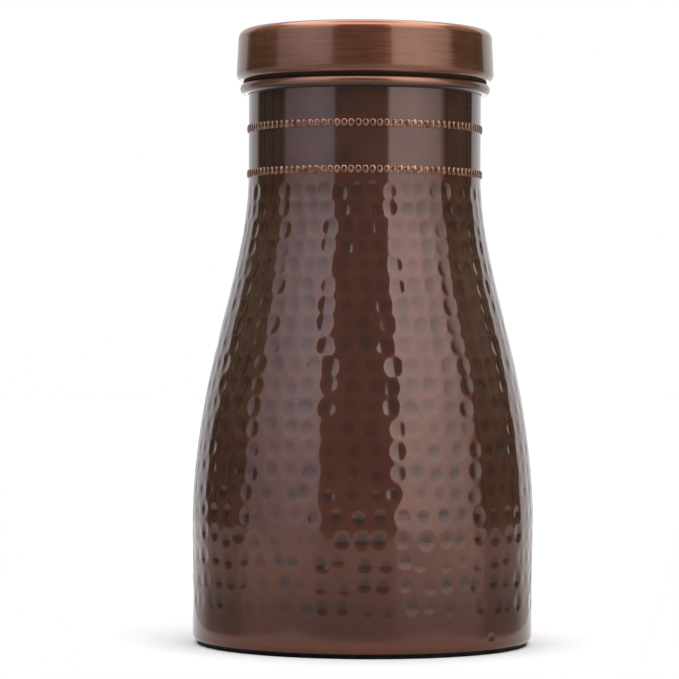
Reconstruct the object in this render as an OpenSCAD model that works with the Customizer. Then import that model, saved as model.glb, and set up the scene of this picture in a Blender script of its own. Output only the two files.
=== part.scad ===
// Copper carafe with a hammered body, a smooth neck between two beaded bands,
// and a push-in lid that is a drinking cup standing upside down in the neck.
// Millimetres. +Z is up, and the origin is the middle of the foot, on the table.

/* [Body] */
// Widest diameter of the body
body_d = 111.6; // [106:0.2:118]
// Height at which the body starts to narrow
belly_z = 36; // [30:1:42]
// Height of the seam between body and neck
seam_z = 153; // [140:1:160]
// Thickness of the copper sheet
wall_t = 0.8; // [0.6:0.1:1]
// Radius of the corner between wall and foot
foot_r = 3; // [2.5:0.1:4]
// Height that the foot plate's hem shows under the wall
hem_h = 0.8; // [0.6:0.1:1]

/* [Neck and mouth] */
// Outside diameter of the neck
neck_d = 75.8; // [72:0.2:78]
// Height of the neck, from the seam to the middle of the rolled rim
neck_h = 27.8; // [24:0.2:32]
// Thickness of the rolled rim at the mouth
rim_d = 3.7; // [3.4:0.1:4]

/* [Beaded bands] */
// Number of beads round a band
bead_n = 104; // [96:2:112]
// How far the beads stand out from the neck
bead_out = 0.6; // [0.5:0.1:0.8]
// Height of the upper band above the lower one
band_gap = 14.7; // [12:0.1:18]

/* [Lid and cup] */
// Diameter of the lid at its lower edge
lid_d = 84; // [83:0.1:86]
// Height of the lid
lid_h = 16.7; // [14:0.1:20]
// Radius of the lid's upper edge
lid_top_r = 2.8; // [2:0.1:3.5]
// Radius of the lid's turned-in lower edge
lid_low_r = 2.5; // [2:0.1:2.5]
// Gap between the rim and the lid, which the seal fills
seal_t = 0.6; // [0.5:0.1:1]
// Free space between the cup's lip and the neck
cup_clear = 0.6; // [0.4:0.1:0.8]
// Depth that the cup reaches below the lid
cup_depth = 60; // [45:1:70]
// Thickness of the cup's rolled lip
lip_d = 2; // [1.8:0.1:2.4]

/* [Hidden] */

$fn = 180;
COPPER = [0.36, 0.21, 0.17];
NECK_COPPER = [0.34, 0.23, 0.21];
RUBBED_COPPER = [0.62, 0.36, 0.27];
LID_COPPER = [0.47, 0.27, 0.2];
CUP_COPPER = [0.8, 0.45, 0.32];
BLACK = [0.05, 0.05, 0.05];

// The body's outline leaves the belly and reaches the neck upright,
// so two upright handles shape the whole curve between them.
BELLY_HANDLE = 53;
NECK_HANDLE = 34;
CURVE_STEPS = 28;
// The wall leans in a little below the belly.
FOOT_LEAN = 0.45;
// How far round its corner the wall turns in before it meets the foot plate.
FOOT_TURN = 60;
ARC_STEPS = 8;
// Width of the ring that the foot plate stands on, and how far its middle is raised.
FOOT_RING_W = 2.2;
FOOT_RAISE = 1.2;
EDGE_BREAK = 0.2;

body_r = body_d / 2;
neck_r = neck_d / 2;
mouth_r = neck_r - wall_t;
foot_wall_r = body_r - FOOT_LEAN;
foot_arc = [foot_wall_r - foot_r, hem_h + foot_r * sin(FOOT_TURN)];

rim_z = seam_z + neck_h;
rim_r = mouth_r + rim_d / 2;
rim_top_z = rim_z + rim_d / 2;
// The neck's edge ends inside the roll, a little above its middle.
NECK_INTO_RIM = 0.5;
neck_top_z = rim_z + NECK_INTO_RIM;
// The wire fills the rolled rim and stays just clear of the neck's wall.
WIRE_CLEAR = 0.15;
wire_d = rim_d - 2 * (wall_t + WIRE_CLEAR);

band_z = seam_z;
// Each bead's ball is wider than its share of the band, so its sides are cut off.
BEAD_WIDTH = 1.65;
bead_r = PI * neck_r / bead_n * BEAD_WIDTH;
// The turn left free on each side of a bead, in degrees.
BEAD_GAP_TURN = 0.015;
// The strip that carries the beads.
STRIP_T = 0.25;
STRIP_H = 1.8;
// Thickness of the solder behind the strip, left open here.
SOLDER_T = 0.02;

// The seal lies this far above the rim's crown, and its edge shows past it.
SEAL_GAP = 0.05;
SEAL_SHOWS = 0.85;
seal_z = rim_top_z + SEAL_GAP;
seal_out_r = rim_r + SEAL_SHOWS;
lid_z = seal_z + seal_t;
total_h = lid_z + lid_h;
lid_r = lid_d / 2;
// The lid's wall leans in towards its top.
LID_LEAN = 0.55;
// Width of the flat edge that the lid's wall turns in to.
LIP_FLAT = 0.8;

cup_lip_r = mouth_r - cup_clear;
lip_r = lip_d / 2;
cup_in_r = cup_lip_r - lip_d;
cup_r = cup_in_r + wall_t;
lip_z = lid_z - cup_depth + lip_r;
// The cup's closed end stands inside the hollow lid.
CUP_IN_LID = 4.7;
cup_end_z = lid_z + CUP_IN_LID;
CUP_CORNER_R = 3;
plate_z = lid_z + wall_t;
// The seal keeps this far from the cup that passes through it.
SEAL_CLEAR = 0.3;

// A point on a cubic curve with the four control points a, b, c and d.
function cubic(a, b, c, d, t) =
    pow(1 - t, 3) * a + 3 * pow(1 - t, 2) * t * b + 3 * (1 - t) * t * t * c + pow(t, 3) * d;

// Points on an arc about a centre, from one angle to another.
function arc(centre, r, from, to, steps = ARC_STEPS) =
    [for (i = [0:steps]) let (a = from + (to - from) * i / steps)
        centre + r * [cos(a), sin(a)]];

// The same points, in the other direction.
function backwards(points) = [for (i = [len(points) - 1:-1:0]) points[i]];

// The body's outline from belly to neck, moved in by the thickness t.
function shoulder(t) =
    [for (i = [0:CURVE_STEPS])
        cubic(
            [body_r - t, belly_z],
            [body_r - t, belly_z + BELLY_HANDLE],
            [neck_r - t, seam_z - NECK_HANDLE],
            [neck_r - t, seam_z],
            i / CURVE_STEPS
        )];

// One side of the body's sheet, from the turned-in foot up to the neck.
function body_side(t) = concat(
    arc(foot_arc, foot_r - t, -FOOT_TURN, 0),
    shoulder(t)
);

// A solid of revolution from a closed outline in the plane of radius and height.
module turned(outline) {
    rotate_extrude() polygon(outline);
}

// A ring of rectangular section between two radii and two heights.
module washer(r_in, r_out, z_low, z_high) {
    turned([[r_in, z_low], [r_out, z_low], [r_out, z_high], [r_in, z_high]]);
}

module body_shell() {
    color(COPPER) turned(concat(body_side(0), backwards(body_side(wall_t))));
}

// The end of the turned-in wall, moved in by the thickness t.
function foot_end(t) = foot_arc + (foot_r - t) * [cos(FOOT_TURN), -sin(FOOT_TURN)];

// A pressed disc: it stands on a narrow ring, and its middle is raised off the table.
module base_plate() {
    edge = foot_end(0);
    inner_edge = foot_end(wall_t);
    ring_r = edge[0] - FOOT_RING_W;
    raised_r = ring_r - FOOT_RAISE;
    color(COPPER) turned([
        [0, FOOT_RAISE],
        [raised_r, FOOT_RAISE],
        [ring_r, 0],
        [edge[0] - EDGE_BREAK, 0],
        [edge[0], EDGE_BREAK],
        edge,
        inner_edge,
        [ring_r, inner_edge[1]],
        [raised_r, FOOT_RAISE + wall_t],
        [0, FOOT_RAISE + wall_t]
    ]);
}

module neck_collar() {
    color(NECK_COPPER) washer(mouth_r, neck_r, seam_z, neck_top_z);
}

// A rolled ring over the neck's upper edge.
module mouth_rim() {
    color(RUBBED_COPPER) rotate_extrude() difference() {
        translate([rim_r, rim_z]) circle(d = rim_d);
        translate([rim_r, rim_z]) circle(d = wire_d);
        translate([mouth_r - rim_d, rim_z - rim_d])
            square([neck_r - mouth_r + rim_d, neck_top_z - rim_z + rim_d]);
    }
}

module rim_wire() {
    color(RUBBED_COPPER) rotate_extrude() translate([rim_r, rim_z]) circle(d = wire_d);
}

// One bead of a band: a ball cut flat at the back, in the strip, and just short of its neighbours.
module bead() {
    half_turn = 180 / bead_n - BEAD_GAP_TURN;
    back_r = neck_r + STRIP_T / 2;
    front_r = neck_r + 2 * bead_out;
    intersection() {
        translate([neck_r + bead_out - bead_r, 0, 0]) sphere(bead_r, $fn = 24);
        linear_extrude(4 * bead_r, center = true) polygon([
            for (p = [[back_r, -1], [front_r, -1], [front_r, 1], [back_r, 1]])
                p[0] * [1, p[1] * tan(half_turn)]
        ]);
    }
}

// A low prism with one flat side behind each bead.
module bead_prism(r, h) {
    corner_r = r / cos(180 / bead_n);
    linear_extrude(h, center = true) polygon([
        for (i = [0:bead_n - 1]) let (a = 360 * (i + 0.5) / bead_n)
            corner_r * [cos(a), sin(a)]
    ]);
}

// Beaded wire soldered round the neck: a thin strip with a row of round beads.
module bead_band(z) {
    color(RUBBED_COPPER) translate([0, 0, z]) {
        difference() {
            bead_prism(neck_r + STRIP_T, STRIP_H);
            bead_prism(neck_r + SOLDER_T, 2 * STRIP_H);
        }
        for (i = [0:bead_n - 1])
            rotate([0, 0, 360 * i / bead_n]) bead();
    }
}

module lower_bead_band() {
    bead_band(band_z);
}

module upper_bead_band() {
    bead_band(band_z + band_gap);
}

module seal_ring() {
    color(BLACK) washer(cup_lip_r + SEAL_CLEAR, seal_out_r, seal_z, lid_z);
}

// One side of the lid's sheet, from the middle of its top to its turned-in lower edge.
function lid_side(t) = concat(
    [[0, total_h - t]],
    arc([lid_r - LID_LEAN - lid_top_r, total_h - lid_top_r], lid_top_r - t, 90, 0),
    arc([lid_r - lid_low_r, lid_z + lid_low_r], lid_low_r - t, 0, -90),
    [[lid_r - lid_low_r - LIP_FLAT, lid_z + t]]
);

module lid_cap() {
    color(LID_COPPER) turned(concat(lid_side(0), backwards(lid_side(wall_t))));
}

// The flat ring that closes the hollow lid round the cup.
module lid_under_plate() {
    color(LID_COPPER) washer(cup_r, lid_r - lid_low_r, plate_z, plate_z + wall_t);
}

// One side of the cup's closed end, from its middle to its wall.
function cup_end(t) = concat(
    [[0, cup_end_z - t]],
    arc([cup_r - CUP_CORNER_R, cup_end_z - CUP_CORNER_R], CUP_CORNER_R - t, 90, 0)
);

// The cup's lip, rolled outwards from the inside of the wall back to its outside.
function cup_lip() =
    let (lip_centre_r = cup_in_r + lip_r, meets = acos((cup_r - lip_centre_r) / lip_r))
    arc([lip_centre_r, lip_z], lip_r, meets, -180, 2 * ARC_STEPS);

// The drinking cup, mouth down.
module tumbler_cup() {
    color(CUP_COPPER) turned(concat(cup_end(0), cup_lip(), backwards(cup_end(wall_t))));
}

body_shell();
base_plate();
neck_collar();
mouth_rim();
rim_wire();
lower_bead_band();
upper_bead_band();
seal_ring();
lid_cap();
lid_under_plate();
tumbler_cup();
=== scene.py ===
"""The looks of a hammered copper carafe with a lid cup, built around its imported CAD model."""
import bpy
import math
import numpy as np
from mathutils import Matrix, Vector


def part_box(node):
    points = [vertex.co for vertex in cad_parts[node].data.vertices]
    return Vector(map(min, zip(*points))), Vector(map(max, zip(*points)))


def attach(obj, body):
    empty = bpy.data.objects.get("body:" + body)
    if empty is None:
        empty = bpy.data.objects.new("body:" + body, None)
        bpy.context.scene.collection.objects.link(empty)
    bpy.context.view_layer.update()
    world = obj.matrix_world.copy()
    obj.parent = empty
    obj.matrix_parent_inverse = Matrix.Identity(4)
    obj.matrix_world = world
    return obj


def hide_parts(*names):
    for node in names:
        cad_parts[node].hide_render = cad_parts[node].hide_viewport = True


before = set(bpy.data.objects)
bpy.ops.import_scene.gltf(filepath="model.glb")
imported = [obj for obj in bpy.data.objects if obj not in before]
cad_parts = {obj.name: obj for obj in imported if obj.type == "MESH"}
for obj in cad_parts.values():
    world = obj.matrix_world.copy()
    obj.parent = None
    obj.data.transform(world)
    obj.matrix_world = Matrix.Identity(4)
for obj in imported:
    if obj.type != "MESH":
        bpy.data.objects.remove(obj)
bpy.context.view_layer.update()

# Lengths are in millimetres up to the point where a mesh is made.
MM = 0.001

# The sheet that every part is made of.
SHEET = 0.8
# The body's outline: an upright wall, then one curve whose ends leave upright.
BELLY_Z = 36.0
BELLY_HANDLE = 53.0
NECK_HANDLE = 34.0
FOOT_LEAN = 0.45
FOOT_R = 3.0
FOOT_TURN = 60.0
# Rows of faces round the foot's corner, and how many of them, from the seam up, are painted black as shade.
CORNER_ROWS = 8
SHADE_BLACK_ROWS = 3
# The foot plate: its standing ring, how far its middle is raised, and its two rounded edges.
RING_WIDTH = 2.2
FOOT_RAISE = 1.2
RING_INNER_R = 0.3
RING_INNER_OFFSET = 0.2
RING_OUTER_R = 0.25
# Spacing of the body's mesh. The inside is coarser, apart from its last rows at the foot.
BODY_COLUMNS = 640
ROW_STEP = 0.65
INSIDE_SKIP = 8
INSIDE_FINE_ROWS = 12
PLAIN_COLUMNS = 256

# Hammer marks: level rows, a little further apart towards the foot.
FIRST_ROW_Z = 146.0
ROW_PITCH = 5.8
ROW_GROWTH = 0.036
ROWS = 21
MARKS_AT_NECK = 46
MARKS_AT_FOOT = 52
MARK_DEPTH = 0.24
# Between these two heights the marks change from small ones that stand apart to ones that touch.
APART_Z = 62.0
TOUCHING_Z = 95.0
# Below and above those heights: half a mark's width and height, as shares of the room that it has,
# and the spread of its place, as a share of its room sideways and in millimetres upwards.
HALF_WIDTHS = (0.39, 0.48)
HALF_HEIGHTS = (0.39, 0.52)
STRAY_SHARES = (0.12, 0.08)
STRAY_HEIGHTS = (0.50, 0.35)
# The lower rows are shallower: heights, and the share of the full depth at each.
DEPTH_HEIGHTS = (38.0, 46.0, 95.0)
DEPTH_SHARES = (0.68, 0.85, 1.0)
# Lowest and highest factor, by chance, on a mark's size and on its depth.
SIZE_SPREAD = (0.9, 1.08)
DEPTH_SPREAD = (0.55, 1.3)
# How far a whole row is shifted round, at most, as a share of a mark's room.
ROW_SHIFT = 0.15
# How much of each point's own depth stays when the ridges are rounded.
RIDGE_KEEP = 0.7
# A slip of the hammer: its turn in degrees from +X, its height, its half sizes and its share of the depth.
SLIP = (317.0, 5.6, 1.5, 0.7)
SLIP_DEPTH = 0.7

# Beaded wire: how far a bead stands out of the neck, and how far it reaches in behind the neck's surface.
BEADS = 104
BEAD_PROUD = 0.6
BEAD_ROOT = 0.3
BEAD_HALF_WIDTH = 1.18
BEAD_HALF_HEIGHT = 1.35
STRIP_PROUD = 0.25
STRIP_HALF_HEIGHT = 0.9

# The rolled rim's sheet runs between these two angles, and is open where the neck's wall enters.
ROLL_START = -118
ROLL_END = 158

# Seal, lid and cup. The seal reaches in past the neck's inner wall.
SEAL_REACH = 0.3
LID_TOP_R = 2.8
LID_LOW_R = 2.5
LID_LEAN = 0.55
LIP_FLAT = 0.8
CUP_CORNER_R = 3.0
CUP_LIP_R = 1.0

# Heights on the body, in metres, between which it changes on the way down: the marks get darker, the
# lacquer wears off, everything gets darker, and the lower edge is red.
MARKS_DARKEN = (0.075, 0.035)
LACQUER_WEARS = (0.031, 0.010)
FOOT_DARKENS = (0.030, 0.014)
EDGE_REDDENS = (0.0075, 0.0035)

# The studio around the bottle: soft boxes, dark cloth screens with creases and a dark post, and the nearer
# part of the table. Azimuths are in degrees from the camera's side of the bottle, and grow towards +X.
LEFT_BOX = (-86.0, -30.0)
RIGHT_BOX = (23.0, 82.0)
SCREENS = (-133.0, 132.0)
DARK_POST = (127.0, 131.0)
CREASES = (-125.0, -119.0, -103.0, 88.0, 121.0)
CREASE_HALF_WIDTH = 1.2
NEAR_TABLE = (-86.0, 86.0)
# How softly the table's tones pass into each other, on either side of an azimuth.
TABLE_EDGES = (8.0, 8.0)
# Elevations, in degrees, between which the table ends, the soft boxes reach full strength, the light
# overhead starts and the darker ceiling starts.
TABLE_ENDS = (-3.3, -2.7)
BOXES_RISE = (-3.0, 30.0)
OVERHEAD_STARTS = (44.0, 54.0)
CEILING_STARTS = (70.0, 76.0)
# The pale floor's corners, in metres.
FLOOR_FRONT_Y = -0.100
FLOOR_FRONT_X = 0.080
FLOOR_BACK_Y = 4.0
FLOOR_BACK_X = 0.6
# The camera: where it stands, in metres, its small roll in radians, and its lens and sensor in millimetres.
CAMERA_PLACE = (-0.0079, -1.015, 0.0991)
CAMERA_ROLL = -0.0056
LENS = 164.4
SENSOR_WIDTH = 36.0


def round_size(node):
    """A round node's outer radius and its lowest and highest z."""
    low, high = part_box(node)
    return high.x / MM, low.z / MM, high.z / MM


def arc(centre, radius, start, end, steps):
    """Points (radius, z) on an arc; the angles are in degrees."""
    turn = np.radians(np.linspace(start, end, steps + 1))
    return np.column_stack((centre[0] + radius * np.cos(turn), centre[1] + radius * np.sin(turn)))


def line(start, end, steps=1):
    return np.linspace(start, end, steps + 1)


def cubic(a, b, c, d, steps):
    """Points on a cubic curve with four control points."""
    t = np.linspace(0, 1, steps + 1)[:, None]
    a, b, c, d = (np.array(p, float) for p in (a, b, c, d))
    return (1 - t) ** 3 * a + 3 * (1 - t) ** 2 * t * b + 3 * (1 - t) * t * t * c + t ** 3 * d


def without_repeats(outline):
    """The outline without points that lie on the one before."""
    keep = np.r_[True, np.hypot(*np.diff(outline, axis=0).T) > 1e-4]
    return outline[keep]


def turned_points(outline, columns):
    """The outline's points carried round the Z axis: rows by columns by xyz."""
    turn = np.arange(columns) * 2 * math.pi / columns
    r, z = outline[:, :1], outline[:, 1:]
    return np.stack((r * np.cos(turn), r * np.sin(turn), z + 0 * turn), -1)


def skin(points, loop):
    """Vertices and faces over rows of points. A row on the axis becomes one vertex."""
    rows, columns = points.shape[:2]
    on_axis = np.hypot(points[:, 0, 0], points[:, 0, 1]) < 1e-6
    index = np.zeros((rows, columns + 1), int)
    vertices = []
    for row in range(rows):
        if on_axis[row]:
            index[row] = len(vertices)
            vertices.append(points[row, 0])
        else:
            index[row, :-1] = len(vertices) + np.arange(columns)
            index[row, -1] = index[row, 0]
            vertices.extend(points[row])
    faces = []
    for row in range(rows if loop else rows - 1):
        low, high = index[row], index[(row + 1) % rows]
        if low[0] == low[1]:
            faces += zip(low[:-1], high[1:], high[:-1])
        elif high[0] == high[1]:
            faces += zip(low[:-1], low[1:], high[:-1])
        else:
            faces += zip(low[:-1], low[1:], high[1:], high[:-1])
    return np.array(vertices), [tuple(int(i) for i in face) for face in faces]


def facing_out(outline):
    """The outline run so that the faces made from it look outwards."""
    r, z = outline.T
    area = np.sum(r * np.roll(z, -1) - z * np.roll(r, -1))
    return outline if area > 0 else outline[::-1]


def turned(outline, columns=PLAIN_COLUMNS):
    """A solid of revolution from an outline that is a loop, or that runs from axis to axis."""
    outline = facing_out(without_repeats(np.vstack(outline)))
    loop = outline[0, 0] > 1e-6
    return skin(turned_points(outline, columns), loop)


def make_mesh(name, parts, sharp_angle=40):
    """One mesh object, in metres, from lists of vertices and faces in millimetres."""
    vertices, faces = [], []
    start = 0
    for points, part_faces in parts:
        vertices.append(points)
        faces += [tuple(i + start for i in face) for face in part_faces]
        start += len(points)
    mesh = bpy.data.meshes.new(name)
    mesh.from_pydata((np.vstack(vertices) * MM).tolist(), [], faces)
    mesh.shade_smooth()
    mesh.set_sharp_from_angle(angle=math.radians(sharp_angle))
    mesh.validate()
    made = bpy.data.objects.new(name, mesh)
    bpy.context.scene.collection.objects.link(made)
    return made


def dress(piece, body, node, slot, *materials):
    """Puts a piece on its CAD body, in place of a CAD node, with its materials."""
    for material in materials:
        piece.data.materials.append(material)
    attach(piece, body)
    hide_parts(node)
    return piece


# ---------------------------------------------------------------- shapes


def body_side(inset):
    """One side of the body's sheet, from the turned-in foot up to the neck."""
    belly_r, foot_z, seam_z = round_size("body_shell")
    neck_r = round_size("neck_collar")[0]
    corner = (belly_r - FOOT_LEAN - FOOT_R, foot_z + FOOT_R * math.sin(math.radians(FOOT_TURN)))
    foot = arc(corner, FOOT_R - inset, -FOOT_TURN, 0, CORNER_ROWS)
    belly = (belly_r - inset, BELLY_Z)
    wall_rows = round((BELLY_Z - foot[-1, 1]) / ROW_STEP)
    shoulder_rows = round((seam_z - BELLY_Z) / ROW_STEP)
    shoulder = cubic(
        belly,
        (belly_r - inset, BELLY_Z + BELLY_HANDLE),
        (neck_r - inset, seam_z - NECK_HANDLE),
        (neck_r - inset, seam_z),
        shoulder_rows,
    )
    return np.vstack((foot, line(foot[-1], belly, wall_rows)[1:-1], shoulder))


def press_mark(depth, outline, at_turn, at_z, half_width, half_height, sink):
    """Sinks one round-bottomed mark into a field of depths, where it is deeper than what is there."""
    r, z = outline.T
    columns = depth.shape[1]
    pitch = 360.0 / columns
    at_r = np.interp(at_z, z, r)
    rows = np.nonzero(abs(z - at_z) < half_height)[0]
    reach = int(math.degrees(half_width / at_r) / pitch) + 1
    near = round(at_turn / pitch)
    cols = np.arange(near - reach, near + reach + 1)
    u = np.radians(cols * pitch - at_turn)[None, :] * at_r / half_width
    v = (z[rows, None] - at_z) / half_height
    cells = np.ix_(rows, cols % columns)
    depth[cells] = np.maximum(depth[cells], sink * (1 - u * u - v * v))


def hammer_marks(outline, columns):
    """How deep the hammer has sunk each point of the wall: rows by columns."""
    chance = np.random.default_rng(7)
    r, z = outline.T
    depth = np.zeros((len(z), columns))
    for k in range(ROWS):
        row_z = FIRST_ROW_Z - ROW_PITCH * k - ROW_GROWTH * k * k
        row_gap = ROW_PITCH + 2 * ROW_GROWTH * k
        marks = round(MARKS_AT_NECK + (MARKS_AT_FOOT - MARKS_AT_NECK) * k / (ROWS - 1))
        share = 2 * math.pi * np.interp(row_z, z, r) / marks
        row_depth = MARK_DEPTH * np.interp(row_z, DEPTH_HEIGHTS, DEPTH_SHARES)
        wide, high, stray_turn, stray_z = (
            np.interp(row_z, (APART_Z, TOUCHING_Z), ends)
            for ends in (HALF_WIDTHS, HALF_HEIGHTS, STRAY_SHARES, STRAY_HEIGHTS)
        )
        start = chance.uniform(-ROW_SHIFT, ROW_SHIFT)
        for mark in range(marks):
            at_turn = (mark + start + chance.normal(0, stray_turn)) * 360 / marks
            at_z = row_z + chance.normal(0, stray_z)
            half_width = share * wide * chance.uniform(*SIZE_SPREAD)
            half_height = row_gap * high * chance.uniform(*SIZE_SPREAD)
            sink = row_depth * chance.uniform(*DEPTH_SPREAD)
            press_mark(depth, outline, at_turn, at_z, half_width, half_height, sink)
    press_mark(depth, outline, *SLIP, SLIP_DEPTH * MARK_DEPTH)
    return soften(depth)


def soften(field):
    """Rounds the ridges of a field of rows by columns, which closes on itself sideways."""
    side = (1 - RIDGE_KEEP) / 2
    field = side * np.roll(field, 1, 1) + RIDGE_KEEP * field + side * np.roll(field, -1, 1)
    padded = np.vstack((field[:1], field, field[-1:]))
    return side * padded[:-2] + RIDGE_KEEP * padded[1:-1] + side * padded[2:]


def outline_normals(outline):
    """Unit normals in the plane of radius and height, to the outside of a line that runs up."""
    along = np.gradient(outline, axis=0)
    along /= np.hypot(*along.T)[:, None]
    return np.column_stack((along[:, 1], -along[:, 0]))


def pressed_in(points, outline, depth):
    """Points of a turned surface, moved in from it by a field of depths."""
    turn = np.arange(points.shape[1]) * 2 * math.pi / points.shape[1]
    out, up = (part[:, None] for part in outline_normals(outline).T)
    return points - np.stack((depth * out * np.cos(turn), depth * out * np.sin(turn), depth * up), -1)


def hammered_body(outer_material, inner_material, shade_black_material):
    """The body's sheet: hammered outside, plain inside, and painted black as shade round the edge that it
    stands on.
    """
    outer = body_side(0)
    inner = body_side(SHEET)[::-1]
    fine = len(inner) - INSIDE_FINE_ROWS
    inner = inner[np.r_[0:fine:INSIDE_SKIP, fine:len(inner)]]
    depth = hammer_marks(outer, BODY_COLUMNS)
    outside = pressed_in(turned_points(outer, BODY_COLUMNS), outer, depth)
    inside = turned_points(inner, BODY_COLUMNS)
    vertices, faces = skin(np.concatenate((outside, inside)), loop=True)
    piece = make_mesh("hammered_body", [(vertices, faces)])
    marks = piece.data.attributes.new("hammer", "FLOAT", "POINT")
    marks.data.foreach_set("value", np.r_[depth.ravel() / MARK_DEPTH, np.zeros(inside[..., 0].size)])
    material_index = np.zeros(len(faces), np.int32)
    material_index[(len(outer) - 1) * BODY_COLUMNS:] = 1
    # The lowest rows take the near-black base material: painted shade.
    material_index[:SHADE_BLACK_ROWS * BODY_COLUMNS] = 2
    dress(piece, "bottle", "body_shell", "hammered_copper", outer_material, inner_material, shade_black_material)
    piece.data.polygons.foreach_set("material_index", material_index)
    return piece


def foot_plate(material):
    """A pressed disc: it stands on a narrow ring, and its middle is raised off the table."""
    plate_r, ground_z, top_z = round_size("base_plate")
    foot_z = round_size("body_shell")[1]
    corner = (plate_r - FOOT_R * math.cos(math.radians(FOOT_TURN)),
              foot_z + FOOT_R * math.sin(math.radians(FOOT_TURN)))
    inner_edge = arc(corner, FOOT_R - SHEET, -FOOT_TURN, -FOOT_TURN, 1)[0]
    ring_r = plate_r - RING_WIDTH
    raised_r = ring_r - FOOT_RAISE
    outline = [
        [(0, ground_z + FOOT_RAISE), (raised_r, ground_z + FOOT_RAISE)],
        arc((ring_r + RING_INNER_OFFSET, ground_z + RING_INNER_R), RING_INNER_R, -120, -90, 3),
        arc((plate_r - RING_OUTER_R, ground_z + RING_OUTER_R), RING_OUTER_R, -90, 0, 4),
        [(plate_r, foot_z), tuple(inner_edge), (ring_r, inner_edge[1])],
        [(raised_r, top_z), (0, top_z)],
    ]
    piece = make_mesh("foot_plate", [turned(outline)], sharp_angle=30)
    return dress(piece, "bottle", "base_plate", "base_copper", material)


def neck_tube(material):
    """The smooth straight neck."""
    neck_r, low, high = round_size("neck_collar")
    outline = [
        line((neck_r, low), (neck_r, high), 40),
        line((neck_r - SHEET, high), (neck_r - SHEET, low), 10),
    ]
    piece = make_mesh("neck_tube", [turned(outline)], sharp_angle=30)
    return dress(piece, "bottle", "neck_collar", "neck_copper", material)


def rolled_rim(material):
    """The neck's rolled edge: a sheet curled almost into a ring, open where the neck's wall enters."""
    rim_out_r, low, high = round_size("mouth_rim")
    roll_r = (high - low) / 2
    centre = (rim_out_r - roll_r, (low + high) / 2)
    outline = [
        arc(centre, roll_r, ROLL_START, ROLL_END, 44),
        arc(centre, roll_r - SHEET, ROLL_END, ROLL_START, 30),
    ]
    piece = make_mesh("rolled_rim", [turned(outline)])
    return dress(piece, "bottle", "mouth_rim", "rim_copper", material)


def bead(turn, wall_r, z, rings=7, spokes=18):
    """One bead: a flat-topped dome standing out of the wall, closed behind it inside the sheet."""
    share = np.sin(np.radians(np.linspace(90, 0, rings + 1)))[:-1]
    share = np.r_[1.0, share]
    out = BEAD_PROUD * np.sqrt(1 - share ** 3)
    out[0] = -BEAD_ROOT
    spin = np.arange(spokes) * 2 * math.pi / spokes
    side = BEAD_HALF_WIDTH * share[:, None] * np.cos(spin)
    up = BEAD_HALF_HEIGHT * share[:, None] * np.sin(spin)
    angle = turn + side / wall_r
    r = wall_r + out[:, None] + 0 * side
    points = np.stack((r * np.cos(angle), r * np.sin(angle), z + up), -1).reshape(-1, 3)
    tip = (wall_r + BEAD_PROUD) * np.array((math.cos(turn), math.sin(turn), 0)) + (0, 0, z)
    faces = [tuple(range(spokes))[::-1]]
    for ring in range(rings):
        for s in range(spokes):
            a, b = ring * spokes + s, ring * spokes + (s + 1) % spokes
            faces.append((a, b, b + spokes, a + spokes))
    last = rings * spokes
    faces += [(last + s, last + (s + 1) % spokes, len(points)) for s in range(spokes)]
    return np.vstack((points, tip)), faces


def bead_band(name, node, material):
    """A thin strip soldered round the neck, with its row of beads."""
    low, high = (corner.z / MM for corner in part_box(node))
    z = (low + high) / 2
    wall_r = round_size("neck_collar")[0]
    strip = [
        line((wall_r + STRIP_PROUD, z - STRIP_HALF_HEIGHT), (wall_r + STRIP_PROUD, z + STRIP_HALF_HEIGHT)),
        line((wall_r - STRIP_PROUD, z + STRIP_HALF_HEIGHT), (wall_r - STRIP_PROUD, z - STRIP_HALF_HEIGHT)),
    ]
    parts = [turned(strip)]
    parts += [bead(2 * math.pi * i / BEADS, wall_r, z) for i in range(BEADS)]
    piece = make_mesh(name, parts, sharp_angle=60)
    return dress(piece, "bottle", node, "bead_copper", material)


def seal(material):
    """The thin ring between rim and lid, with rounded edges."""
    out_r, low, high = round_size("seal_ring")
    in_r = round_size("neck_collar")[0] - SHEET - SEAL_REACH
    r = (high - low) / 2
    outline = [arc((out_r - r, low + r), r, -90, 90, 8), arc((in_r + r, low + r), r, 90, 270, 8)]
    piece = make_mesh("lid_seal", [turned(outline)])
    return dress(piece, "seal", "seal_ring", "seal_rubber", material)


def lid_side(inset):
    """One side of the lid's sheet, from the middle of its top to its turned-in lower edge."""
    lid_r, low, high = round_size("lid_cap")
    return np.vstack((
        line((0, high - inset), (lid_r - LID_LEAN - LID_TOP_R, high - inset), 24),
        arc((lid_r - LID_LEAN - LID_TOP_R, high - LID_TOP_R), LID_TOP_R - inset, 90, 0, 12),
        arc((lid_r - LID_LOW_R, low + LID_LOW_R), LID_LOW_R - inset, 0, -90, 12),
        [(lid_r - LID_LOW_R - LIP_FLAT, low + inset)],
    ))


def lid_shell(material):
    """The lid's drawn cap: top, wall and turned-in lower edge."""
    outline = [lid_side(0), lid_side(SHEET)[::-1]]
    piece = make_mesh("lid_shell", [turned(outline)], sharp_angle=50)
    return dress(piece, "lid", "lid_cap", "lid_copper", material)


def lid_floor(material):
    """The flat ring that closes the hollow lid round the cup."""
    out_r, low, high = round_size("lid_under_plate")
    in_r = round_size("tumbler_cup")[0] - 2 * CUP_LIP_R + SHEET
    outline = [
        line((in_r, low), (out_r, low), 4),
        line((out_r, high), (in_r, high), 4),
    ]
    piece = make_mesh("lid_floor", [turned(outline)], sharp_angle=30)
    return dress(piece, "lid", "lid_under_plate", "lid_copper", material)


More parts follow.
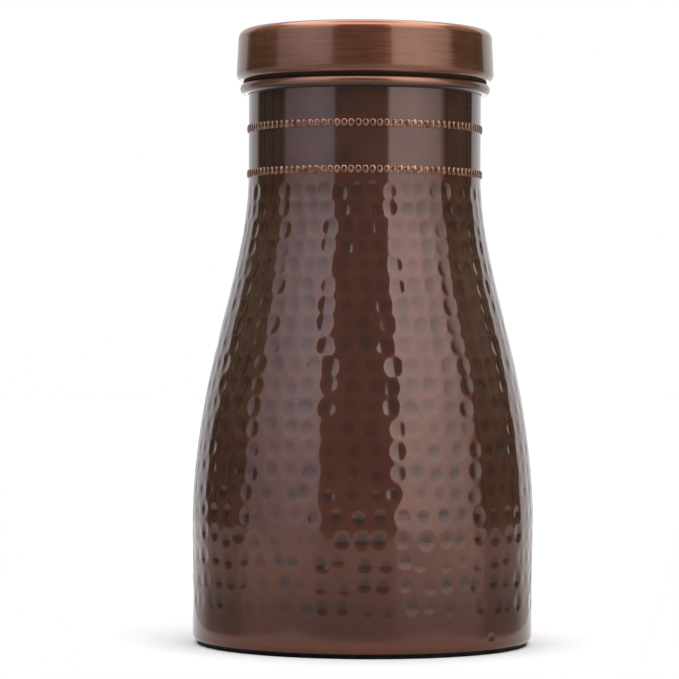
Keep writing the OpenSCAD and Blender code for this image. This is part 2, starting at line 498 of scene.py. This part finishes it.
def drinking_cup(material):
    """The cup, mouth down, with its lip rolled outwards."""
    lip_out_r, mouth_z, end_z = round_size("tumbler_cup")
    inner_r = lip_out_r - 2 * CUP_LIP_R
    outer_r = inner_r + SHEET
    lip = (inner_r + CUP_LIP_R, mouth_z + CUP_LIP_R)
    meets = math.degrees(math.acos((outer_r - lip[0]) / CUP_LIP_R))
    corner = (outer_r - CUP_CORNER_R, end_z - CUP_CORNER_R)
    outline = [
        line((0, end_z), (corner[0], end_z), 20),
        arc(corner, CUP_CORNER_R, 90, 0, 8),
        line((outer_r, corner[1]), (outer_r, lip[1] + 2), 20),
        arc(lip, CUP_LIP_R, meets, -180, 20),
        line((inner_r, lip[1] + 2), (inner_r, corner[1]), 20),
        arc(corner, CUP_CORNER_R - SHEET, 0, 90, 8),
        line((corner[0], end_z - SHEET), (0, end_z - SHEET), 20),
    ]
    piece = make_mesh("drinking_cup", [turned(outline)], sharp_angle=50)
    return dress(piece, "lid", "tumbler_cup", "cup_copper", material)


# ---------------------------------------------------------------- node trees


class Graph:
    """Builds a node tree. Each call adds a node, links or sets its inputs, and returns its output."""

    def __init__(self, tree):
        self.tree = tree
        tree.nodes.clear()

    def node(self, kind, inputs=(), **settings):
        made = self.tree.nodes.new(kind)
        for key, value in settings.items():
            setattr(made, key, value)
        for key, value in dict(inputs).items():
            if isinstance(value, bpy.types.NodeSocket):
                self.tree.links.new(value, made.inputs[key])
            else:
                made.inputs[key].default_value = value
        return made

    def math(self, operation, *values):
        return self.node("ShaderNodeMath", enumerate(values), operation=operation).outputs[0]

    def noise(self, where, scale, detail=3.0, roughness=0.55):
        inputs = {"Vector": where, "Scale": scale, "Detail": detail, "Roughness": roughness}
        return self.node("ShaderNodeTexNoise", inputs).outputs["Fac"]

    def remap(self, value, from_low, from_high, to_low=0.0, to_high=1.0, smooth=False):
        kind = "SMOOTHSTEP" if smooth else "LINEAR"
        values = (value, from_low, from_high, to_low, to_high)
        return self.node("ShaderNodeMapRange", enumerate(values), interpolation_type=kind).outputs[0]

    def mix(self, factor, first, second):
        inputs = {0: factor, 6: first, 7: second}
        return self.node("ShaderNodeMix", inputs, data_type="RGBA").outputs[2]


def rgba(red, green, blue):
    return (red, green, blue, 1.0)


BLACK = rgba(0.0, 0.0, 0.0)


def new_material(name):
    """A material and the graph that fills its node tree."""
    material = bpy.data.materials.new(name)
    material.use_nodes = True
    return material, Graph(material.node_tree)


def finish_surface(g, inputs):
    """Ends a material's graph with one principled surface."""
    shader = g.node("ShaderNodeBsdfPrincipled", inputs)
    g.node("ShaderNodeOutputMaterial", {"Surface": shader.outputs[0]})


def bump(g, height, distance, strength=1.0):
    inputs = {"Height": height, "Distance": distance, "Strength": strength}
    return g.node("ShaderNodeBump", inputs).outputs[0]


def object_place(g):
    return g.node("ShaderNodeTexCoord").outputs["Object"]


def object_height(g):
    return g.node("ShaderNodeSeparateXYZ", {0: object_place(g)}).outputs[2]


def band(g, value, low, high, low_edge=1.0, high_edge=1.0):
    """1 where the value lies between two limits, with soft edges, and 0 outside."""
    rise = g.remap(value, low - low_edge, low + low_edge, smooth=True)
    fall = g.remap(value, high - high_edge, high + high_edge, 1.0, 0.0, smooth=True)
    return g.math("MULTIPLY", rise, fall)


def streaks(g, along=50.0, across=1800.0, detail=4.0):
    """Fine lines that run round the bottle, as brushing on a lathe leaves them."""
    x, y, z = g.node("ShaderNodeSeparateXYZ", {0: object_place(g)}).outputs
    r = g.math("SQRT", g.math("ADD", g.math("MULTIPLY", x, x), g.math("MULTIPLY", y, y)))
    lines = g.math("MULTIPLY", g.math("ADD", z, r), across)
    inputs = {0: g.math("MULTIPLY", x, along), 1: g.math("MULTIPLY", y, along), 2: lines}
    where = g.node("ShaderNodeCombineXYZ", inputs).outputs[0]
    return g.noise(where, 1.0, detail, 0.6)


def hammered_colour(g, cloud, grain):
    """Patina, redder on the ridges and sooty in the marks; the colour also gets darker towards the foot,
    above a redder lower edge.
    """
    mark = g.node("ShaderNodeAttribute", attribute_name="hammer").outputs["Fac"]
    height = object_height(g)
    near_foot = g.remap(height, *MARKS_DARKEN, smooth=True)
    colour = g.mix(g.remap(cloud, 0.35, 0.65), rgba(0.085, 0.034, 0.025), rgba(0.125, 0.050, 0.034))
    ridge = g.remap(mark, 0.05, 0.5, 1.0, 0.0, smooth=True)
    rub = g.math("MULTIPLY", ridge, g.remap(near_foot, 0.0, 1.0, 0.3, 0.5))
    colour = g.mix(rub, colour, rgba(0.17, 0.058, 0.034))
    hollow = g.remap(mark, 0.25, 0.9, smooth=True)
    soot = g.math("MULTIPLY", hollow, g.remap(near_foot, 0.0, 1.0, 0.3, 0.85))
    colour = g.mix(soot, colour, rgba(0.045, 0.029, 0.027))
    colour = g.mix(g.remap(height, *FOOT_DARKENS, 0.0, 0.5), colour, rgba(0.042, 0.023, 0.018))
    colour = g.mix(g.remap(height, *EDGE_REDDENS, smooth=True), colour, rgba(0.11, 0.034, 0.018))
    return g.mix(g.remap(grain, 0.35, 0.75, 0.0, 0.35), colour, rgba(0.05, 0.022, 0.016))


def hammered_copper():
    """Glossy antique copper under clear lacquer, which is worn off round the foot."""
    material, g = new_material("hammered_copper")
    place = object_place(g)
    cloud = g.noise(place, 70.0, 5.0)
    grain = g.noise(place, 700.0, 4.0, 0.65)
    finish_surface(g, {
        "Base Color": hammered_colour(g, cloud, grain),
        "Metallic": 0.5,
        "Roughness": g.remap(grain, 0.3, 0.7, 0.06, 0.13),
        "Normal": bump(g, grain, 0.00002, 0.5),
        "Coat Weight": g.remap(object_height(g), *LACQUER_WEARS, 1.0, 0.05),
        "Coat Roughness": 0.03,
        "Coat IOR": 1.4,
    })
    return material


def lacquered_copper(name, dark, light, rough, shine, brushed=0.65, ring=None):
    """Antique copper under clear lacquer.

    Rough holds the lowest and highest roughness, shine is how metallic it looks, and brushed is how much of
    its colour is brush lines. A ring that differs from the rest is a band of painted light: it has a lowest
    and highest z, in millimetres, and a colour, which paints a highlight on the lid and shade on the rim.
    """
    material, g = new_material(name)
    lines = streaks(g)
    cloud = g.noise(object_place(g), 45.0, 3.0)
    tone = g.math("ADD", g.math("MULTIPLY", lines, brushed), g.math("MULTIPLY", cloud, 1 - brushed))
    colour = g.mix(g.remap(tone, 0.38, 0.62), dark, light)
    # The ring paints a band of light or shade into the colour: a painted highlight on the lid, painted shade
    # on the rim.
    if ring:
        low, high, painted_band_colour = ring
        inside = band(g, object_height(g), low * MM, high * MM, 0.5 * MM, 0.5 * MM)
        colour = g.mix(inside, colour, painted_band_colour)
    finish_surface(g, {
        "Base Color": colour,
        "Metallic": shine,
        "Roughness": g.remap(lines, 0.3, 0.7, *rough),
        "Normal": bump(g, lines, 0.00002),
        "Coat Weight": 1.0,
        "Coat Roughness": 0.04,
        "Coat IOR": 1.4,
    })
    return material


def neck_copper():
    """The neck's dark copper, with few brush lines."""
    return lacquered_copper(
        "neck_copper",
        dark=rgba(0.065, 0.030, 0.025),
        light=rgba(0.115, 0.050, 0.038),
        rough=(0.08, 0.14),
        shine=0.5,
        brushed=0.3,
    )


def lid_copper():
    """The lid's copper, with a painted highlight along its upper edge."""
    top = round_size("lid_cap")[2]
    return lacquered_copper(
        "lid_copper",
        dark=rgba(0.14, 0.051, 0.027),
        light=rgba(0.25, 0.095, 0.052),
        rough=(0.16, 0.26),
        shine=0.6,
        brushed=0.5,
        # Painted highlight: a brighter orange band round the lid's upper edge.
        ring=(top - 2.2, top - 0.6, rgba(0.42, 0.15, 0.07)),
    )


def rim_copper():
    """The rolled rim's copper, with painted shade along its underside."""
    low = round_size("mouth_rim")[1]
    return lacquered_copper(
        "rim_copper",
        dark=rgba(0.23, 0.092, 0.055),
        light=rgba(0.345, 0.144, 0.092),
        rough=(0.26, 0.36),
        shine=0.9,
        # Painted shade: a dark band along the rim's underside.
        ring=(low - 1, low + 1.2, rgba(0.06, 0.03, 0.02)),
    )


def bare_copper(name, dark, light):
    """Copper spun on a lathe and left bare."""
    material, g = new_material(name)
    lines = streaks(g, along=12.0, across=2600.0)
    cloud = g.noise(object_place(g), 90.0, 5.0)
    tone = g.math("ADD", g.math("MULTIPLY", lines, 0.5), g.math("MULTIPLY", cloud, 0.5))
    finish_surface(g, {
        "Base Color": g.mix(g.remap(tone, 0.35, 0.65), dark, light),
        "Metallic": 1.0,
        "Roughness": g.remap(lines, 0.3, 0.7, 0.26, 0.4),
        "Normal": bump(g, lines, 0.00003),
    })
    return material


def polished_copper(name, dark, light):
    """Copper rubbed bright, with the patina left in patches."""
    material, g = new_material(name)
    place = object_place(g)
    cloud = g.noise(place, 500.0, 4.0)
    finish_surface(g, {
        "Base Color": g.mix(g.remap(cloud, 0.35, 0.65), dark, light),
        "Metallic": 1.0,
        "Roughness": g.remap(cloud, 0.3, 0.7, 0.16, 0.08),
        "Normal": bump(g, cloud, 0.00002),
    })
    return material


def shade_black_base():
    """Near-black, dull copper where the bottle stands: painted shade for the dark band under the foot."""
    material, g = new_material("base_copper")
    place = object_place(g)
    scuffs = g.noise(place, 260.0, 6.0, 0.7)
    # The near-black colour is painted shade; the scuffs vary it at random.
    finish_surface(g, {
        "Base Color": g.mix(g.remap(scuffs, 0.45, 0.75), rgba(0.003, 0.003, 0.003), rgba(0.02, 0.011, 0.009)),
        "Metallic": 0.2,
        "Roughness": g.remap(scuffs, 0.3, 0.7, 0.75, 0.5),
        "Specular IOR Level": 0.1,
        "Normal": bump(g, scuffs, 0.00006),
    })
    return material


def black_rubber():
    """Matt black rubber for the seal."""
    material, g = new_material("seal_rubber")
    grain = g.noise(object_place(g), 1600.0, 3.0)
    finish_surface(g, {
        "Base Color": g.mix(grain, rgba(0.004, 0.004, 0.004), rgba(0.012, 0.011, 0.011)),
        "Roughness": g.remap(grain, 0.3, 0.7, 0.6, 0.8),
        "Normal": bump(g, grain, 0.00003),
    })
    return material


# ---------------------------------------------------------------- the studio


def directions(g):
    """Azimuth and elevation, in degrees, of the direction looked in. Azimuth 0 is towards the camera."""
    way = g.node("ShaderNodeTexCoord").outputs["Generated"]
    x, y, z = g.node("ShaderNodeSeparateXYZ", {0: way}).outputs
    azimuth = g.math("DEGREES", g.math("ARCTAN2", x, g.math("MULTIPLY", y, -1.0)))
    return azimuth, g.math("DEGREES", g.math("ARCSINE", z))


def soft_box(g, azimuth, elevation, sides, edges, low_share, fade):
    """How strongly a soft box shows: weaker towards the table, and towards its outer side."""
    upward = g.remap(elevation, *BOXES_RISE, low_share, 1.05)
    outward = g.remap(azimuth, *fade)
    return g.math("MULTIPLY", band(g, azimuth, *sides, *edges), g.math("MULTIPLY", upward, outward))


def dark_cloth(g, azimuth, elevation):
    """Dark cloth screens, darker towards the table, with a few creases."""
    fold = g.noise(g.node("ShaderNodeCombineXYZ", {0: azimuth}).outputs[0], 0.17, 2.0)
    cloth = g.mix(g.remap(fold, 0.35, 0.65), rgba(0.13, 0.14, 0.09), rgba(0.27, 0.28, 0.18))
    cloth = g.mix(g.remap(elevation, 16.0, 5.0, 0.0, 0.55, smooth=True), cloth, BLACK)
    for crease in CREASES:
        near = band(g, azimuth, crease - CREASE_HALF_WIDTH, crease + CREASE_HALF_WIDTH)
        cloth = g.mix(near, cloth, BLACK)
    return cloth


def far_table(g, azimuth):
    """The table beyond the floor's sheet: paler before the soft boxes and behind the bottle."""
    near = band(g, azimuth, *NEAR_TABLE, *TABLE_EDGES)
    by_left_box = band(g, azimuth, *LEFT_BOX, *TABLE_EDGES)
    by_right_box = band(g, azimuth, RIGHT_BOX[0], NEAR_TABLE[1], *TABLE_EDGES)
    camera_side = band(g, azimuth, *SCREENS, *TABLE_EDGES)
    table = g.mix(near, rgba(0.36, 0.35, 0.34), rgba(0.53, 0.51, 0.49))
    table = g.mix(by_left_box, table, rgba(0.66, 0.63, 0.60))
    table = g.mix(by_right_box, table, rgba(0.80, 0.78, 0.76))
    return g.mix(camera_side, rgba(0.75, 0.73, 0.72), table)


def studio_colour(g):
    """A pale table and backdrop, dark screens beside the camera and a large soft box on each side of it."""
    azimuth, elevation = directions(g)
    backdrop = g.mix(g.remap(azimuth, -20.0, 20.0), rgba(0.58, 0.58, 0.60), rgba(0.68, 0.68, 0.68))
    colour = g.mix(band(g, azimuth, *SCREENS, 2.0, 1.5), backdrop, dark_cloth(g, azimuth, elevation))
    colour = g.mix(band(g, azimuth, *DARK_POST), colour, rgba(0.02, 0.015, 0.01))
    colour = g.mix(band(g, azimuth, LEFT_BOX[1], RIGHT_BOX[0]), colour, rgba(0.21, 0.155, 0.13))
    left = soft_box(g, azimuth, elevation, LEFT_BOX, (2.0, 1.0), 0.42, (-86.0, -50.0, 0.55, 1.0))
    right = soft_box(g, azimuth, elevation, RIGHT_BOX, (1.0, 5.0), 0.58, (50.0, 80.0, 1.0, 0.6))
    colour = g.mix(left, colour, rgba(1.3, 1.4, 1.65))
    colour = g.mix(right, colour, rgba(2.08, 2.08, 2.08))
    colour = g.mix(g.remap(elevation, *OVERHEAD_STARTS, smooth=True), colour, rgba(2.6, 2.6, 2.6))
    colour = g.mix(g.remap(elevation, *CEILING_STARTS, smooth=True), colour, rgba(0.8, 0.8, 0.8))
    return g.mix(g.remap(elevation, *TABLE_ENDS), far_table(g, azimuth), colour)


def studio_light():
    """Lights the bottle with the studio, and shows plain white behind it."""
    world = bpy.data.worlds.new("studio")
    bpy.context.scene.world = world
    world.use_nodes = True
    g = Graph(world.node_tree)
    around = g.node("ShaderNodeBackground", {"Color": studio_colour(g)})
    plain = g.node("ShaderNodeBackground", {"Color": rgba(1.0, 1.0, 1.0)})
    seen = g.node("ShaderNodeLightPath").outputs["Is Camera Ray"]
    both = g.node("ShaderNodeMixShader", {0: seen, 1: around.outputs[0], 2: plain.outputs[0]})
    g.node("ShaderNodeOutputWorld", {"Surface": both.outputs[0]})


def pale_floor():
    """A plain pale floor. Beyond the bottle's soft shadow it is as white as what is behind it."""
    material, g = new_material("pale_floor")
    grain = g.noise(object_place(g), 40.0, 3.0)
    finish_surface(g, {
        "Base Color": g.mix(grain, rgba(0.92, 0.92, 0.92), rgba(0.94, 0.94, 0.94)),
        "Roughness": 0.9,
    })
    corners = [
        (-FLOOR_FRONT_X, FLOOR_FRONT_Y, 0),
        (FLOOR_FRONT_X, FLOOR_FRONT_Y, 0),
        (FLOOR_BACK_X, FLOOR_BACK_Y, 0),
        (-FLOOR_BACK_X, FLOOR_BACK_Y, 0),
    ]
    mesh = bpy.data.meshes.new("floor")
    mesh.from_pydata(corners, [], [(0, 1, 2, 3)])
    mesh.materials.append(material)
    floor = bpy.data.objects.new("floor", mesh)
    bpy.context.scene.collection.objects.link(floor)


def camera():
    """Level, about a metre away, at half the bottle's height."""
    lens = bpy.data.cameras.new("camera")
    lens.lens = LENS
    lens.sensor_width = SENSOR_WIDTH
    made = bpy.data.objects.new("camera", lens)
    made.location = CAMERA_PLACE
    made.rotation_euler = (math.pi / 2, CAMERA_ROLL, 0)
    bpy.context.scene.collection.objects.link(made)
    bpy.context.scene.camera = made


camera()
studio_light()
pale_floor()
bpy.context.scene.view_settings.view_transform = "Standard"

bare = bare_copper("bare_copper", dark=rgba(0.42, 0.17, 0.09), light=rgba(0.62, 0.29, 0.18))
beads = polished_copper("bead_copper", dark=rgba(0.17, 0.085, 0.06), light=rgba(0.38, 0.21, 0.155))
wire = bare_copper("wire_copper", dark=rgba(0.38, 0.17, 0.1), light=rgba(0.55, 0.27, 0.18))
# The near-black base material paints shade on the foot plate and on the body's lowest rows.
base = shade_black_base()

hammered_body(hammered_copper(), bare, base)
foot_plate(base)
neck_tube(neck_copper())
rolled_rim(rim_copper())
bead_band("lower_beads", "lower_bead_band", beads)
bead_band("upper_beads", "upper_bead_band", beads)
seal(black_rubber())
lid_shell(lid_copper())
lid_floor(bare)
drinking_cup(bare)
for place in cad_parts["rim_wire"].material_slots:
    place.material = wire
